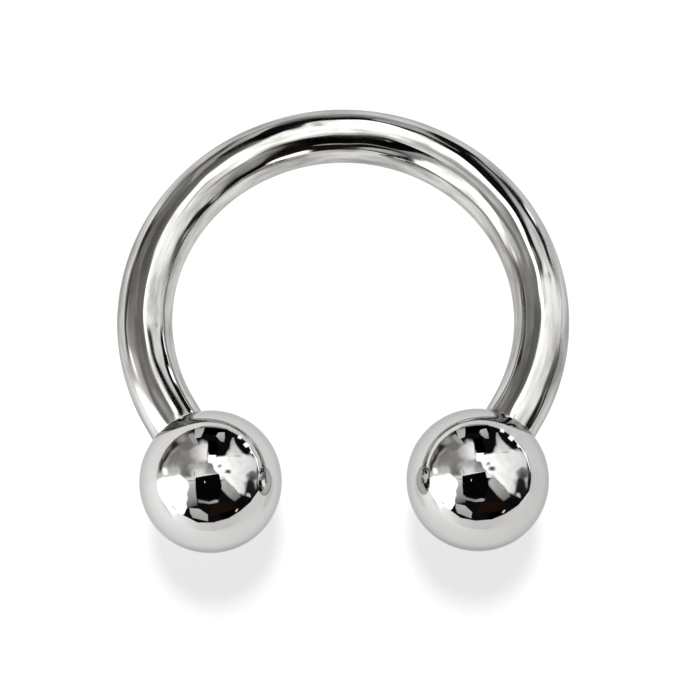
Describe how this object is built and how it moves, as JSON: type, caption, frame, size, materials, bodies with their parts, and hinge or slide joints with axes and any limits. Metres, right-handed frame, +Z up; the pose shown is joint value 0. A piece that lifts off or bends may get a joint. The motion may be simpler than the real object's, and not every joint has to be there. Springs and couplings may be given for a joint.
{
  "type": "horseshoe barbell",
  "caption": "Horseshoe barbell: an open ring of round, mirror-polished steel wire with a screw-on ball at each end, lying on its side.",
  "frame": {"origin": "centre of the footprint on the surface that the barbell lies on", "axes": "+Z up from that surface, +Y towards the top of the ring, +X towards right_ball, the open side towards -Y"},
  "size_m": [0.013, 0.0134, 0.004],
  "materials": {
    "wire": "mirror-polished surgical steel",
    "balls": "mirror-polished surgical steel"
  },
  "bodies": {
    "bar": {"bar": "wire"},
    "left_ball": {"left_ball": "balls"},
    "right_ball": {"right_ball": "balls"}
  },
  "joints": [
    {"name": "left_ball_off", "type": "slide", "parent": "bar", "child": "left_ball", "axis": [0.5135, -0.8526, 0.0963], "range_m": [0, 0.0024]},
    {"name": "right_ball_off", "type": "slide", "parent": "bar", "child": "right_ball", "axis": [-0.5135, -0.8526, 0.0963], "range_m": [0, 0.0024]}
  ]
}
